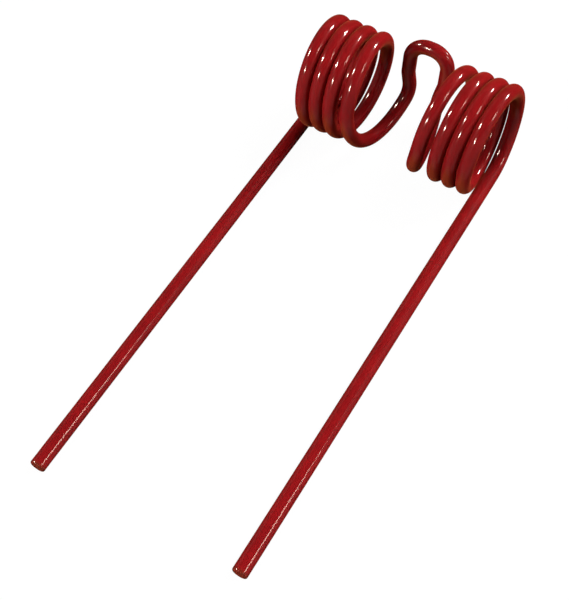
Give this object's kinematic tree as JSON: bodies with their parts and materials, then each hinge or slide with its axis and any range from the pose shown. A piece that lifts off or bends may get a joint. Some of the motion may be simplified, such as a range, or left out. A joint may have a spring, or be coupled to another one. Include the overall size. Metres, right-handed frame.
{
  "type": "baler pick-up tine",
  "caption": "Spring tine bent from round wire: straight legs, a coil at each leg's root, and a narrow loop between the coils for the fixing bolt.",
  "frame": {"origin": "on the coils' common axis, halfway between the two coils: the middle of the tine bar that the coils go over", "axes": "+X along the coil axis, -Y along the legs towards their tips, +Z from the legs' side to the tops of the coils, so that the tine lies flat on its legs and coils"},
  "size_m": [0.083, 0.2084, 0.0448],
  "materials": {
    "enamelled_wire": "gloss dark red dip enamel on spring steel"
  },
  "bodies": {
    "root": {"spring_tine": "enamelled_wire"}
  },
  "joints": []
}
